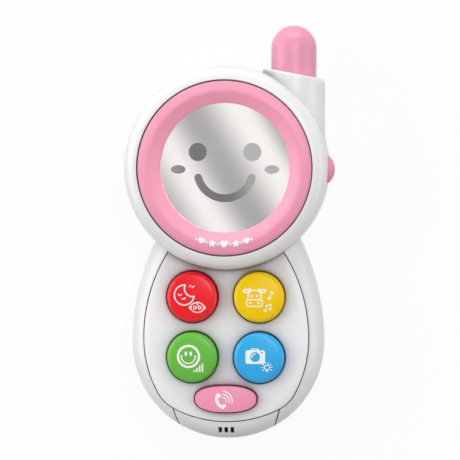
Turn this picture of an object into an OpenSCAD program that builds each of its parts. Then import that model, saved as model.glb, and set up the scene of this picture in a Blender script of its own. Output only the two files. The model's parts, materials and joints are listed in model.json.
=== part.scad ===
// Toy cell phone lying on its back: x to the right, y towards the antenna, z out of the face.
// The origin is on the flat back, on the centreline, at the neck where the round head meets the body.

/* [Body] */
// How much narrower the body is than the head, on each side
body_inset = 2; // [1:0.1:3]
// Radius of the long arcs that form the body's sides
side_r = 95; // [88:1:110]
// Distance from the neck down to the widest point of the body
body_drop = 41.4; // [40:0.1:43]
// Thickness of the body from its back to the keypad
body_depth = 24; // [23.5:0.5:27]
// Rounding of the body's front edge
body_front_f = 9; // [7:0.5:9.5]
// Rounding of the back edges of the body and the head
back_f = 7; // [6:0.5:8]
// Wall thickness of the shells
wall = 2.2; // [1.8:0.1:2.4]
// Height of the front shell above the parting plane
front_h = 8; // [7.8:0.1:8.4]

/* [Head] */
// Outer radius of the round head
head_r = 40.4; // [39.5:0.1:42]
// How far the head reaches down over the body
head_lap = 11.5; // [11:0.1:12]
// How far the head stands proud of the keypad
head_step = 8; // [7.8:0.1:9]
// Width of the white rim round the mirror ring
rim_w = 5.5; // [5:0.1:6]
// Height over which the rim rounds off towards the side of the head
rim_h = 6.5; // [5:0.1:9]
// Depth of the recess that holds the mirror and its ring
recess_depth = 5.5; // [5:0.1:5.7]
// Thickness of the deck behind the mirror
deck_t = 2; // [1.6:0.1:2.2]
// Gap round the mirror ring
ring_gap = 0.35; // [0.2:0.05:0.6]
// Radial width of the mirror ring
ring_w = 8.85; // [8.5:0.05:9.5]
// Thickness of the mirror
mirror_t = 1.5; // [1:0.1:1.8]

/* [Antenna] */
// Distance of the antenna's axis inside the head's side
antenna_inset = 13.9; // [13.4:0.1:14.9]
// Radius of the antenna
antenna_r = 9; // [8:0.1:9.3]
// Length of the antenna above the middle of its barrel's mouth
antenna_len = 19; // [14:0.1:24]
// Distance of the middle of the barrel's mouth below the top of the head
barrel_drop = 2.9; // [2:0.1:3.6]
// Slope of the barrel's mouth in degrees
barrel_slant = 10.8; // [6:0.1:14]
// Wall thickness of the barrel
barrel_wall = 3.3; // [2.8:0.1:3.4]
// Rounding of the barrel's mouth
mouth_f = 1.3; // [0.8:0.1:1.6]

/* [Keypad] */
// Width of the rim beside the keypad panel
side_rim_w = 5.6; // [5.2:0.1:6]
// Height of the chin below the keypad panel
chin_w = 7.6; // [7.2:0.1:8]
// Distance of the panel's widest point above the body's widest point
panel_up = 2.4; // [1.4:0.1:3.2]
// Radius of the panel's lower arcs, as a share of the body's half width
panel_low_curve = 1.21; // [1.15:0.01:1.26]
// Rounding of the panel's lower corners
panel_corner_r = 14; // [8:0.5:18]
// Radius of the panel's upper side arcs, as a share of the body's half width
panel_side_curve = 1.68; // [1.6:0.01:1.8]
// Thickness of the keypad panel
panel_t = 2.2; // [1.8:0.1:2.4]
// Width of the seam round the keypad panel
panel_gap = 0.35; // [0.2:0.05:0.5]
// Width of the seams at the ends of the chin
chin_gap = 0.4; // [0.2:0.05:0.5]
// Distance between the two columns of keys, as a share of the body's half width
key_spread = 0.695; // [0.68:0.005:0.71]
// Place of the first row of keys, as a share of the keypad's length
first_row = 0.187; // [0.185:0.001:0.19]
// Place of the second row of keys, as a share of the keypad's length
second_row = 0.598; // [0.595:0.001:0.6]
// Radius of a round key, as a share of the keypad's length
key_size = 0.171; // [0.16:0.001:0.172]
// How far a round key stands proud of the panel
key_proud = 4.2; // [3:0.1:5]
// Rounding of a round key's edge
key_edge_r = 2; // [1.4:0.1:2.4]
// Slope of a round key's crown where it meets the rounded edge, in degrees
key_slope = 8; // [4:1:12]
// Place of the call key, as a share of the keypad's length
call_row = 0.881; // [0.88:0.001:0.882]
// Half length of the call key
call_a = 12.2; // [11:0.1:12.6]
// Half height of the call key
call_b = 5.1; // [4.5:0.1:5.2]
// How far the call key stands proud of the panel
call_proud = 3.4; // [2.8:0.1:4]
// Gap round every key
key_gap = 0.6; // [0.25:0.05:0.65]
// Travel of every key
key_travel = 1.5; // [1:0.1:1.5]

/* [Controls] */
// Radius of the button on the side of the head
side_button_r = 5.3; // [5:0.1:6]
// How far the side button sits below the middle of the head
side_button_drop = 0.7; // [0:0.1:2]
// How far the side button stands out of the head
side_button_out = 2.5; // [2:0.1:3]
// Travel of the side button
side_button_travel = 1.2; // [0.8:0.1:1.3]
// Half travel of the power slider
slider_travel = 2; // [1.5:0.1:2.2]

/* [Battery bay] */
// Diameter of one cell
cell_d = 10.5; // [10.3:0.1:10.6]
// Length of one cell
cell_l = 44.5; // [44:0.1:44.8]
// Thickness of the battery door
door_t = 2; // [1.8:0.1:2.1]
// Thickness of the circuit boards
board_t = 1.6; // [1.2:0.1:1.6]

/* [Hidden] */
$fn = 96;
// Gap between pieces that do not move on each other
fit = 0.15;
// Running gap of keys and buttons in their holes
run = 0.25;
// Small gap between faces that bear on each other
touch = 0.1;
// Gap of a moving piece at its stops
rest = 0.2;
// Overshoot of cutting tools
cut = 1;
// Half size of blocks that cut away half of a form
big = 150;
// Segments in the rounded edge of a shell
edge_n = 8;

// Half width of the body, also the radius of its round lower end
body_r = head_r - body_inset;

// Parting plane of the shells
split_z = body_depth - front_h;

// Head places and levels
head_y = head_r - head_lap;
head_depth = body_depth + head_step;
recess_r = head_r - rim_w;
deck_z = head_depth - recess_depth;
ring_out_r = recess_r - ring_gap;
ring_in_r = ring_out_r - ring_w;
mirror_lip = 2.5;
mirror_r = ring_in_r + mirror_lip;
ring_crown = 1;
ring_edge_w = 0.5;
ring_edge_drop = 0.7;
ring_slope_w = 4.45;
ring_slope_flat = 0.7;
ring_knee_out = 0.25;
ring_foot = 1.3;
ring_screw_r = ring_out_r - 3.6;
ring_screw_at = [90, 200, 340];
ring_bore_depth = 4;

// Frame and panel levels
frame_end = 4;
panel_end = -1;
ledge_w = 2;
ledge_t = 1.8;
panel_edge_z = body_depth - panel_t - 1.8;
panel_under_z = body_depth - panel_t;
panel_border = ledge_w + touch;
panel_half_w = body_r - side_rim_w;
panel_wide_y = panel_up - body_drop;
panel_arc_r = panel_low_curve * body_r;
panel_side_r = panel_side_curve * body_r;
body_low_y = -(body_drop + body_r);
panel_low_y = body_low_y + chin_w;
chin_in_x = 21;
chin_in_y = body_low_y + 12;
chin_out_x = 18.2;
chin_out_y = body_low_y + 3.4;
chin_reach = 8;
chin_slot_w = 1.4;
chin_slot_l = 2.3;
chin_slot_pitch = 2.4;
chin_slot_y = body_low_y + 4;

// Battery bay
door_sink = 0.2;
door_top_z = door_sink + door_t;
cell_gap = 0.3;
cell_z = door_top_z + cell_gap + cell_d / 2;
cell_x = (cell_d + cell_gap) / 2;
bay_wall = 1.5;
bay_half_w = cell_d + 1.5 * cell_gap;
spring_l = 4.6;
contact_t = 0.4;
bay_l = cell_l + spring_l + 2 * contact_t + 3 * touch;
bay_low_y = -(body_drop + bay_l / 2);
bay_top_y = bay_low_y + bay_l;
bay_ceiling_z = cell_z + cell_d / 2 + cell_gap;
door_lap = 3;
door_low_y = bay_low_y - 2.5;
door_top_y = bay_top_y + 7;
door_corner = 4;
door_half_w = bay_half_w + door_lap;
door_screw_y = bay_top_y + 3.8;
door_ledge_t = 1.6;
door_screw_l = 6;
door_seat_t = 0.8;
door_boss_z = door_top_z + door_screw_l + bay_wall;
door_border = 2.5;
tab_x = 8;
tab_w = 4;
tab_l = 1.6;
tab_t = 1.1;
contact_w = 8;
tab_contact_w = 2.4;
contact_tab_z = cell_z + 3.2;

// Keys
key_flange = 1;
key_flange_t = 1.2;
key_top_z = panel_under_z - rest;
key_low_z = key_top_z - key_flange_t;
keypad_top_y = -head_lap;
keypad_l = keypad_top_y - panel_low_y - panel_border;
key_r = key_size * keypad_l;
key_hole_r = key_r + key_gap;
key_x = key_spread * body_r / 2;
key_row_1 = keypad_top_y - first_row * keypad_l;
key_row_2 = keypad_top_y - second_row * keypad_l;
keys_y = (key_row_1 + key_row_2) / 2;
call_y = keypad_top_y - call_row * keypad_l;
call_power = 2.4;
call_n = 60;
call_dome_r = 46;

// Board levels: the roof of the bay and the rubber cups share the height that is left
board_gap = 1.6;
spare_h = key_low_z - rest - board_t - board_gap - bay_ceiling_z;
roof_share = 0.38;
bay_roof_z = bay_ceiling_z + roof_share * spare_h;
board_z = bay_roof_z + board_gap;
board_top_z = board_z + board_t;
board_inset = 4;
board_end = -4;
dome_r = 3.6;
dome_foot_r = 6;
dome_foot_t = 0.7;
dome_h = (1 - roof_share) * spare_h;
dome_in_h = min(key_travel, 0.66 * dome_h);

// Screws and posts
boss_r = 2.8;
tube_r = 3.2;
boss_z = split_z - 6;
screw_r = 1.2;
screw_head_r = 2.4;
screw_head_t = 1.8;
screw_seat_z = 5;
screw_l = 12;
screw_clear = 0.35;
screw_grip = 0.05;
small_r = 0.9;
small_head_r = 1.8;
small_head_t = 1.2;
post_r = 2.3;
post_bore = 4;
boss_inset = 6.2;
boss_side_x = panel_half_w - boss_inset;
boss_neck_x = 12;
boss_neck_y = -6.4;
body_bosses = [[boss_side_x, keys_y], [-boss_side_x, keys_y],
               [boss_neck_x, boss_neck_y], [-boss_neck_x, boss_neck_y]];
head_boss_r = head_r - 10.9;
head_boss_at = [27, 140, 215, 325];
head_bosses = [for (a = head_boss_at) [head_boss_r * cos(a), head_y + head_boss_r * sin(a)]];
post_side_x = 0.57 * body_r;
post_side_y = panel_low_y + 12.6;
post_top_y = -10;
board_posts = [[0, post_top_y], [0, keys_y], [post_side_x, post_side_y], [-post_side_x, post_side_y]];

// Antenna and its light
antenna_x = head_r - antenna_inset;
barrel_y = head_y + head_r - barrel_drop;
barrel_r = antenna_r + fit + barrel_wall;
barrel_low_y = head_y + 10;
tube_low_y = barrel_y - 12.9;
flange_r = antenna_r + 1.2;
flange_t = 1.9;
antenna_low_y = tube_low_y - touch - flange_t;
antenna_bore_r = antenna_r - 2.5;
led_r = 2.5;
led_flange_r = 2.9;
led_flange_t = 1;
led_body_l = 5.5;
led_pitch = 2.54;
lead_r = 0.3;
lead_l = 5;
holder_t = 2.5;
holder_low_y = antenna_low_y + 0.3;
led_y = holder_low_y + holder_t + touch;

// Side button
button_y = head_y - side_button_drop;
seat_x = head_r - wall - 2.2;
button_flange = 1.6;
button_flange_t = 1.3;
button_stem_r = 2.4;
button_stem_l = 1;
button_flange_x = seat_x - rest - button_flange_t;
button_in_x = button_flange_x - button_stem_l;
side_dome_h = side_button_travel + 1.4;
side_dome_r = 2.8;
side_board_x = button_in_x - rest - side_dome_h - board_t;
side_board_w = 13;
side_board_h = 11;
side_post = 3.4;
side_post_w = 2.4;

// Speaker
speaker_r = head_r - 22.4;
speaker_rim = 2.4;
speaker_flange_t = 1;
speaker_z = wall + touch;
speaker_neck_r = 0.56 * speaker_r;
speaker_cup_h = 4;
cone_t = 0.5;
coil_r = 0.28 * speaker_r;
coil_h = 1.4;
magnet_r = 0.51 * speaker_r;
magnet_h = 4;
clamp_r = speaker_r + 6.2;
clamp_in_r = speaker_r - 1.6;
clamp_t = 1.5;
clamp_screw_r = speaker_r + 3.4;
clamp_screw_l = 3.2;
clamp_boss_r = 2.2;
clamp_at = [30, 150, 270];
grille_r = 1.1;
grille_rings = [[0, 1], [speaker_r / 4, 6], [speaker_r / 2, 12]];

// Power slider
slider_y = head_y + head_r - 11.8;
knob_l = 4.6;
knob_w = 3.6;
knob_sink = 0.5;
slider_base_l = 10;
slider_base_w = 5.6;
slider_base_t = 0.8;
slider_z = wall + rest;
slot_l = knob_l + 2 * slider_travel + 2 * run;
slot_w = knob_w + 2 * run;
pad_in_x = slider_base_l / 2 + slider_travel + run;
pad_l = 2.2;
pad_z = slider_z + slider_base_t + rest;
ear_t = 0.6;
pin_r = 0.7;
switch_l = 8.6;
switch_w = 4.4;
switch_h = 3.8;

// Wires
wire_r = 0.55;
wire_pitch = 2.4;
wire_end_y = board_end - 2;
wire_end_z = board_z - wire_r - touch;
wire_low_z = board_z - 3.2;
wire_sides = 8;
wire_steps = 4;
// Direction that no wire runs along, from which its section is turned
wire_turn = [0.5, -0.6, 0.6];

function arc(cx, cz, r, from, to, n) =
    [for (i = [0 : n]) let (t = from + (to - from) * i / n) [cx + r * cos(t), cz + r * sin(t)]];

// Half section of a flat round form: the front edge rounds off over f_in inwards and f_down downwards
function pillow(r, low, high, f_back, f_in, f_down) = concat(
    [[0, low]],
    arc(r - f_back, low + f_back, f_back, -90, 0, edge_n),
    [for (i = [0 : edge_n]) let (t = 90 * i / edge_n)
        [r - f_in + f_in * cos(t), high - f_down + f_down * sin(t)]],
    [[0, high]]);

function mirrored(p) = concat(p, [for (i = [len(p) - 1 : -1 : 0]) [-p[i][0], p[i][1]]]);

// Right half of the panel's outline from the bottom up, grown outwards by g
function panel_right(g) =
    let (
        r = panel_arc_r + g,
        c_low = [0, panel_low_y + panel_arc_r],
        c_side = [panel_half_w - panel_arc_r, panel_wide_y],
        c_up = [panel_half_w - panel_side_r, panel_wide_y],
        span = c_low - c_side,
        inner_r = panel_arc_r - panel_corner_r,
        reach = sqrt(inner_r * inner_r - span * span / 4),
        c_turn = (c_low + c_side) / 2 + reach * [span[1], -span[0]] / norm(span),
        a_low = atan2(c_turn[1] - c_low[1], c_turn[0]),
        a_side = atan2(c_turn[1] - c_side[1], c_turn[0] - c_side[0]),
        a_step = (a_side - a_low) / 6,
        a_up = asin((panel_end + g - panel_wide_y) / (panel_side_r + g))
    )
    concat(
        arc(c_low[0], c_low[1], r, -90, a_low, 10),
        arc(c_turn[0], c_turn[1], panel_corner_r + g, a_low + a_step, a_side - a_step, 4),
        arc(c_side[0], c_side[1], r, a_side, 0, 10),
        arc(c_up[0], c_up[1], panel_side_r + g, a_up / 14, a_up, 13));

function call_points(g) = [for (i = [0 : call_n - 1])
    let (t = 360 * i / call_n, c = cos(t), s = sin(t))
    [(call_a + g) * sign(c) * pow(abs(c), 2 / call_power),
     (call_b + g) * sign(s) * pow(abs(s), 2 / call_power)]];

function catmull(p0, p1, p2, p3, t) =
    0.5 * (2 * p1 + (p2 - p0) * t + (2 * p0 - 5 * p1 + 4 * p2 - p3) * t * t
           + (3 * p1 - p0 - 3 * p2 + p3) * t * t * t);

function route(p) =
    let (n = len(p))
    concat(
        [for (i = [0 : n - 2], k = [0 : wire_steps - 1])
            catmull(p[max(i - 1, 0)], p[i], p[i + 1], p[min(i + 2, n - 1)], k / wire_steps)],
        [p[n - 1]]);

function unit(v) = v / norm(v);

module half(up) {
    translate([-big, -big, up ? split_z : split_z - 2 * big])
        cube(2 * big);
}

// Rounded body, grown outwards by g
module body_form(g, end) {
    front_f = body_front_f + g;
    profile_side = pillow(side_r + g, -g, body_depth + g, back_f + g, front_f, front_f);
    translate([0, -body_drop, 0])
        rotate([0, 0, 180])
            rotate_extrude(angle = 180)
                polygon(pillow(body_r + g, -g, body_depth + g, back_f + g, front_f, front_f));
    for (side = [0, 1])
        mirror([side, 0, 0])
            intersection() {
                translate([body_r - side_r, -body_drop, 0])
                    rotate_extrude(angle = 60)
                        polygon(profile_side);
                translate([0, -body_drop, -big])
                    cube([big, body_drop + end, 2 * big]);
            }
}

// Rounded head, grown outwards by g
module head_form(g) {
    translate([0, head_y, 0])
        rotate_extrude()
            polygon(pillow(head_r + g, -g, head_depth + g, back_f + g, rim_w + g, rim_h + g));
}

// Round bar on the antenna's axis
module on_axis(r, low, high) {
    translate([antenna_x, low, split_z])
        rotate([-90, 0, 0])
            cylinder(r = r, h = high - low);
}

// Barrel with its slanted mouth and the rounding of the mouth's edge
module barrel_form(r, low) {
    flare = 3 * r;
    intersection() {
        on_axis(r, low, barrel_y + antenna_r);
        translate([antenna_x, barrel_y, split_z])
            rotate([0, 0, -barrel_slant])
                rotate([-90, 0, 0])
                    rotate_extrude()
                        polygon(concat(
                            [[0, -2 * flare], [flare, -2 * flare], [flare, -flare / 2],
                             [r + mouth_f / 2, -mouth_f]],
                            arc(r - mouth_f, -mouth_f, mouth_f, 20, 90, 4),
                            [[0, 0]]));
    }
}

module antenna_bores() {
    on_axis(antenna_r + fit, antenna_low_y - cut, barrel_y + 2 * antenna_r);
    on_axis(flange_r + fit, antenna_low_y - cut, tube_low_y);
}

// Bar along x at the side button's axis
module button_bar(r, from, to) {
    translate([from, button_y, split_z])
        rotate([0, 90, 0])
            cylinder(r = r, h = to - from);
}

module button_seat() {
    intersection() {
        head_form(0);
        button_bar(side_button_r + run + 2.6, seat_x, head_r + cut);
    }
}

module button_hole() {
    button_bar(side_button_r + run, seat_x - cut, head_r + 2 * cut);
}

module block(x0, x1, y0, y1, z0, z1) {
    translate([x0, y0, z0])
        cube([x1 - x0, y1 - y0, z1 - z0]);
}

module panel_prism(g, z0, z1) {
    translate([0, 0, z0])
        linear_extrude(height = z1 - z0)
            polygon(mirrored(panel_right(g)));
}

module door_plan(g) {
    for (x = [-1, 1], y = [door_low_y + door_corner, door_top_y - door_corner])
        translate([x * (door_half_w - door_corner), y])
            circle(r = door_corner + g);
    translate([-door_half_w - g, door_low_y + door_corner])
        square([2 * (door_half_w + g), door_top_y - door_low_y - 2 * door_corner]);
    translate([-door_half_w + door_corner, door_low_y - g])
        square([2 * (door_half_w - door_corner), door_top_y - door_low_y + 2 * g]);
}

module chin_wedge(g) {
    translate([0, 0, -cut])
        linear_extrude(height = head_depth)
            polygon([[chin_in_x + g, chin_in_y + chin_reach], [chin_in_x + g, chin_in_y],
                     [chin_out_x + g, chin_out_y], [chin_out_x + g, chin_out_y - chin_reach],
                     [-chin_out_x - g, chin_out_y - chin_reach], [-chin_out_x - g, chin_out_y],
                     [-chin_in_x - g, chin_in_y], [-chin_in_x - g, chin_in_y + chin_reach]]);
}

// Rim of the front with the ledge that carries the panel
module rim_form() {
    difference() {
        union() {
            intersection() {
                difference() {
                    body_form(0, frame_end);
                    body_form(-wall, frame_end + cut);
                }
                half(true);
            }
            intersection() {
                panel_prism(3, panel_edge_z - ledge_t, panel_edge_z);
                body_form(-wall / 2, frame_end);
            }
        }
        panel_prism(-ledge_w, split_z - cut, panel_edge_z + cut);
        panel_prism(panel_gap, panel_edge_z, head_depth);
    }
}

module screw(r, l, head_r, head_t) {
    cylinder(r = r, h = l);
    translate([0, 0, -head_t])
        difference() {
            cylinder(r = head_r, h = head_t);
            for (a = [0, 90])
                rotate([0, 0, a])
                    block(-head_r * 0.7, head_r * 0.7, -head_r * 0.14, head_r * 0.14, -cut, head_t * 0.6);
        }
}

module main_screw() {
    screw(screw_r, screw_l, screw_head_r, screw_head_t);
}

module small_screw(l) {
    screw(small_r, l, small_head_r, small_head_t);
}

module wire(points) {
    p = route(points);
    n = len(p);
    rings = [for (i = [0 : n - 1])
        let (
            along = unit(p[min(i + 1, n - 1)] - p[max(i - 1, 0)]),
            across = unit(cross(along, wire_turn)),
            over = cross(along, across)
        )
        for (k = [0 : wire_sides - 1])
            let (t = 360 * k / wire_sides)
            p[i] + wire_r * (cos(t) * across + sin(t) * over)];
    skin = [for (i = [0 : n - 2], k = [0 : wire_sides - 1])
        let (a = i * wire_sides, m = (k + 1) % wire_sides)
        [a + k, a + m, a + m + wire_sides, a + k + wire_sides]];
    start = [[for (k = [wire_sides - 1 : -1 : 0]) k]];
    finish = [[for (k = [0 : wire_sides - 1]) (n - 1) * wire_sides + k]];
    polyhedron(concat(rings), concat(skin, start, finish));
}

// Rear shell: back half of the body, head and barrel with the battery bay and the screw tubes
module rear_shell() {
    color("white")
        difference() {
            union() {
                difference() {
                    intersection() {
                        union() {
                            body_form(0, frame_end);
                            head_form(0);
                            barrel_form(barrel_r, barrel_low_y);
                        }
                        half(false);
                    }
                    body_form(-wall, frame_end);
                    head_form(-wall);
                }
                intersection() {
                    union() {
                        barrel_form(barrel_r, tube_low_y);
                        button_seat();
                    }
                    half(false);
                }
                block(-bay_half_w - bay_wall, bay_half_w + bay_wall,
                      bay_low_y - bay_wall, bay_top_y + bay_wall, 0, bay_roof_z);
                linear_extrude(height = door_top_z + door_ledge_t)
                    door_plan(door_border);
                translate([0, door_screw_y, 0])
                    cylinder(r = tube_r, h = door_boss_z);
                for (b = concat(body_bosses, head_bosses))
                    translate(b)
                        cylinder(r = tube_r, h = boss_z - touch);
                for (a = clamp_at)
                    translate([clamp_screw_r * cos(a), head_y + clamp_screw_r * sin(a), 0])
                        cylinder(r = clamp_boss_r, h = speaker_z + speaker_flange_t);
                for (side = [-1, 1]) {
                    translate([side * (pad_in_x + pad_l / 2), slider_y, 0]) {
                        block(-pad_l / 2, pad_l / 2, -slider_base_w / 2, slider_base_w / 2, wall / 2, pad_z);
                        cylinder(r = pin_r, h = pad_z + ear_t + 0.5);
                    }
                    translate([side_board_x + board_t / 2, button_y + side * side_board_w / 2, 0])
                        block(-side_post / 2, side_post / 2, -side_post_w / 2, side_post_w / 2,
                              wall / 2, split_z - 2);
                }
            }
            antenna_bores();
            button_hole();
            // Battery bay and its door
            block(-bay_half_w, bay_half_w, bay_low_y, bay_top_y, -cut, bay_ceiling_z);
            translate([0, 0, -cut])
                linear_extrude(height = door_top_z + cut)
                    door_plan(fit);
            for (side = [-1, 1])
                block(side * tab_x - tab_w / 2 - fit, side * tab_x + tab_w / 2 + fit,
                      door_low_y - tab_l - fit, door_low_y, door_top_z - tab_t - fit, door_top_z);
            translate([0, door_screw_y, -cut])
                cylinder(r = screw_r + screw_grip, h = door_top_z + door_screw_l + cut);
            for (side = [-1, 1])
                block(side * cell_x - tab_contact_w / 2 - run, side * cell_x + tab_contact_w / 2 + run,
                      bay_top_y - cut, bay_top_y + 2 * bay_wall,
                      contact_tab_z - run, contact_tab_z + contact_t + run);
            // Screw tubes
            for (b = concat(body_bosses, head_bosses))
                translate(b) {
                    translate([0, 0, -cut])
                        cylinder(r = screw_r + screw_clear, h = boss_z + 2 * cut);
                    translate([0, 0, -cut])
                        cylinder(r = screw_head_r + screw_clear, h = screw_seat_z + cut);
                }
            for (a = clamp_at)
                translate([clamp_screw_r * cos(a), head_y + clamp_screw_r * sin(a), 1])
                    cylinder(r = small_r + screw_grip, h = boss_z);
            // Sound holes, slider slot and side board slots
            for (ring = grille_rings, k = [0 : ring[1] - 1])
                translate([0, head_y, -cut])
                    rotate([0, 0, 360 * k / ring[1]])
                        translate([ring[0], 0, 0])
                            cylinder(r = grille_r, h = wall + 2 * cut);
            block(-slot_l / 2, slot_l / 2, slider_y - slot_w / 2, slider_y + slot_w / 2, -cut, wall + cut);
            block(side_board_x - touch, side_board_x + board_t + touch,
                  button_y - side_board_w / 2 - touch, button_y + side_board_w / 2 + touch,
                  split_z - side_board_h / 2 - touch, split_z + cut);
        }
}

// Front frame: white rim beside the keypad panel, open at the chin
module front_frame() {
    color("white")
        difference() {
            rim_form();
            chin_wedge(chin_gap);
        }
}

// Chin: rim piece below the panel with the microphone slots
module chin_cap() {
    color("white")
        difference() {
            intersection() {
                rim_form();
                chin_wedge(0);
            }
            for (k = [-1, 0, 1])
                translate([k * chin_slot_pitch, chin_slot_y, split_z])
                    block(-chin_slot_w / 2, chin_slot_w / 2, -chin_slot_l / 2, chin_slot_l / 2,
                          0, body_depth);
        }
}

// Keypad panel with its key holes, screw bosses and board posts
module keypad_panel() {
    color("whitesmoke")
        difference() {
            union() {
                difference() {
                    intersection() {
                        body_form(0, frame_end);
                        panel_prism(0, panel_edge_z, body_depth + cut);
                    }
                    panel_prism(-panel_border, panel_edge_z - cut, panel_under_z);
                }
                for (b = body_bosses)
                    translate([b[0], b[1], boss_z])
                        cylinder(r = boss_r, h = panel_under_z + panel_t / 2 - boss_z);
                for (p = board_posts)
                    translate([p[0], p[1], board_top_z])
                        cylinder(r = post_r, h = panel_under_z + panel_t / 2 - board_top_z);
            }
            for (x = [-key_x, key_x], y = [key_row_1, key_row_2])
                translate([x, y, panel_edge_z])
                    cylinder(r = key_hole_r, h = body_depth);
            translate([0, call_y, panel_edge_z])
                linear_extrude(height = body_depth)
                    polygon(call_points(key_gap));
            for (b = body_bosses)
                translate([b[0], b[1], boss_z - cut])
                    cylinder(r = screw_r + screw_grip, h = panel_under_z - boss_z);
            for (p = board_posts)
                translate([p[0], p[1], board_top_z - cut])
                    cylinder(r = small_r + screw_grip, h = post_bore + cut);
        }
}

// Head shell: front half of the head and barrel with the recess for the mirror
module head_shell() {
    color("white")
        difference() {
            union() {
                difference() {
                    intersection() {
                        union() {
                            head_form(0);
                            barrel_form(barrel_r, barrel_low_y);
                        }
                        half(true);
                    }
                    head_form(-wall);
                }
                intersection() {
                    union() {
                        barrel_form(barrel_r, tube_low_y);
                        button_seat();
                    }
                    half(true);
                }
                intersection() {
                    head_form(-wall / 2);
                    translate([0, head_y, deck_z - deck_t])
                        cylinder(r = head_r, h = deck_t + 1);
                }
                for (b = head_bosses)
                    translate([b[0], b[1], boss_z])
                        cylinder(r = boss_r, h = deck_z - boss_z);
            }
            antenna_bores();
            button_hole();
            translate([0, head_y, deck_z])
                cylinder(r = recess_r, h = head_depth);
            for (b = head_bosses)
                translate([b[0], b[1], boss_z - cut])
                    cylinder(r = screw_r + screw_grip, h = deck_z - deck_t - boss_z);
            for (a = ring_screw_at)
                translate([ring_screw_r * cos(a), head_y + ring_screw_r * sin(a), deck_z - deck_t - cut])
                    cylinder(r = small_r + run, h = deck_t + 2 * cut);
            body_form(fit, frame_end + fit);
        }
}

// Ring that holds the mirror in the head
module mirror_ring() {
    lip_z = deck_z + mirror_t + touch;
    shoulder = [ring_out_r - ring_edge_w, head_depth];
    crest = [ring_in_r + ring_slope_w, head_depth + ring_crown];
    foot = [ring_in_r, lip_z + ring_foot];
    knee_high = crest + ring_knee_out * (shoulder - crest);
    knee_low = foot + ring_slope_flat * (crest - foot);
    color("pink")
        translate([0, head_y, 0])
            difference() {
                rotate_extrude()
                    polygon(concat(
                        [[mirror_r + fit, deck_z], [ring_out_r, deck_z],
                         [ring_out_r, head_depth - ring_edge_drop],
                         [ring_out_r - ring_edge_w / 3, head_depth - ring_edge_drop / 3],
                         shoulder, 0.9 * shoulder + 0.1 * crest],
                        [for (i = [0 : edge_n]) let (t = i / edge_n)
                            (1 - t) * (1 - t) * knee_high + 2 * t * (1 - t) * crest + t * t * knee_low],
                        [foot, [ring_in_r, lip_z], [mirror_r + fit, lip_z]]));
                for (a = ring_screw_at)
                    translate([ring_screw_r * cos(a), ring_screw_r * sin(a), deck_z - cut])
                        cylinder(r = small_r + screw_grip, h = ring_bore_depth + cut);
            }
}

// Mirror disc
module mirror_disc() {
    color("silver")
        translate([0, head_y, deck_z])
            cylinder(r = mirror_r, h = mirror_t);
}

// Antenna: hollow, with a flange that the barrel traps
module antenna() {
    tip_y = barrel_y + antenna_len;
    bore_top = tip_y - antenna_r - 2;
    color("pink")
        translate([antenna_x, antenna_low_y, split_z])
            rotate([-90, 0, 0])
                rotate_extrude()
                    polygon(concat(
                        [[antenna_bore_r, 0], [flange_r, 0], [flange_r, flange_t], [antenna_r, flange_t]],
                        arc(0, tip_y - antenna_r - antenna_low_y, antenna_r, 0, 90, 2 * edge_n),
                        [[0, bore_top + antenna_bore_r - antenna_low_y]],
                        [for (i = [edge_n - 1 : -1 : 0]) let (t = 90 * i / edge_n)
                            [antenna_bore_r * cos(t), bore_top - antenna_low_y + antenna_bore_r * sin(t)]]));
}

// Disc that carries the light in the antenna
module led_holder() {
    color("dimgray")
        difference() {
            on_axis(antenna_bore_r - screw_grip, holder_low_y, holder_low_y + holder_t);
            for (side = [-1, 1])
                translate([side * led_pitch / 2, 0, 0])
                    on_axis(lead_r + run, holder_low_y - cut, holder_low_y + holder_t + cut);
        }
}

// Light inside the antenna with its two leads
module antenna_led() {
    color("ivory") {
        translate([antenna_x, led_y, split_z])
            rotate([-90, 0, 0])
                rotate_extrude()
                    polygon(concat(
                        [[0, 0], [led_flange_r, 0], [led_flange_r, led_flange_t], [led_r, led_flange_t]],
                        arc(0, led_flange_t + led_body_l, led_r, 0, 90, edge_n)));
        for (side = [-1, 1])
            translate([side * led_pitch / 2, 0, 0])
                on_axis(lead_r, led_y - lead_l, led_y + led_flange_t / 2);
    }
}

// Main circuit board under the keys
module main_board() {
    color("forestgreen")
        difference() {
            intersection() {
                panel_prism(-board_inset, board_z, board_top_z);
                block(-big, big, -big, board_end, 0, body_depth);
            }
            for (b = body_bosses)
                translate([b[0], b[1], board_z - cut])
                    cylinder(r = boss_r + 0.6, h = board_t + 2 * cut);
            for (p = board_posts)
                translate([p[0], p[1], board_z - cut])
                    cylinder(r = small_r + run, h = board_t + 2 * cut);
        }
}

// Sealed chip under the board
module chip_blob() {
    blob_x = -0.52 * body_r;
    blob_y = key_row_2;
    blob_r = 4.6;
    blob_h = 1.5;
    color("black")
        translate([blob_x, blob_y, board_z])
            mirror([0, 0, 1])
                rotate_extrude()
                    polygon([[0, 0], [blob_r, 0], [blob_r * 0.93, blob_h * 0.45],
                             [blob_r * 0.7, blob_h * 0.8], [blob_r * 0.35, blob_h * 0.97], [0, blob_h]]);
}

// Capacitor hanging from the board
module capacitor() {
    can_x = 0.52 * body_r;
    can_y = key_row_1;
    can_r = 2.5;
    can_h = 6.5;
    color("navy")
        translate([can_x, can_y, board_z - can_h])
            cylinder(r = can_r, h = can_h);
}

// Rubber cup that lifts a key
module dome(x, y) {
    color("gray")
        translate([x, y, board_top_z])
            rotate_extrude()
                polygon([[0, dome_in_h], [dome_r * 0.8, dome_in_h], [dome_foot_r - 1.5, 0], [dome_foot_r, 0],
                         [dome_foot_r, dome_foot_t], [dome_foot_r - 1, dome_foot_t], [dome_r, dome_h],
                         [0, dome_h]]);
}

module red_dome() {
    dome(-key_x, key_row_1);
}

module yellow_dome() {
    dome(key_x, key_row_1);
}

module green_dome() {
    dome(-key_x, key_row_2);
}

module blue_dome() {
    dome(key_x, key_row_2);
}

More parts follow.
